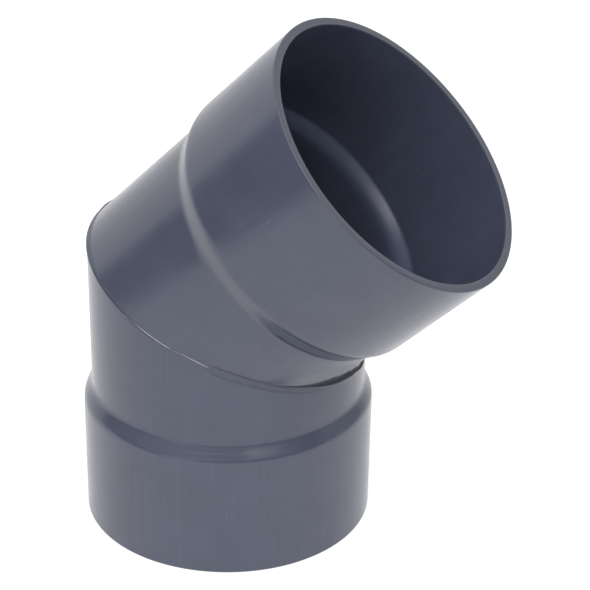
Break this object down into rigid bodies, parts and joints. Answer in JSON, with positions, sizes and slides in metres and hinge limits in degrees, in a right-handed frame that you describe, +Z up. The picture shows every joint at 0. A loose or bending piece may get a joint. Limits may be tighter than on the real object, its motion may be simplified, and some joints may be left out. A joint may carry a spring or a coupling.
{
  "type": "pipe elbow",
  "caption": "Large 45 degree plastic pipe elbow, mitre-welded from two pipe lengths, each belled into a plain solvent-cement socket, with a low weld bead round the joint.",
  "frame": {"origin": "centre of the lower socket's mouth, on the plane of its rim", "axes": "+Z up the lower leg's axis, into the fitting; the upper leg leans 45 degrees from +Z towards +X; the XZ plane is the symmetry plane"},
  "size_m": [0.3851, 0.2654, 0.4723],
  "materials": {
    "pipe_wall": "extruded slate-grey PVC-U with a soft gloss, faint lengthwise die streaks and light handling scuffs",
    "weld_bead": "re-melted slate-grey PVC-U: scraped and partly glossy outside, smooth and rolled inside"
  },
  "bodies": {
    "root": {"lower_socket_leg": "pipe_wall", "upper_socket_leg": "pipe_wall", "outer_weld_bead": "weld_bead", "inner_weld_bead": "weld_bead"}
  },
  "joints": []
}
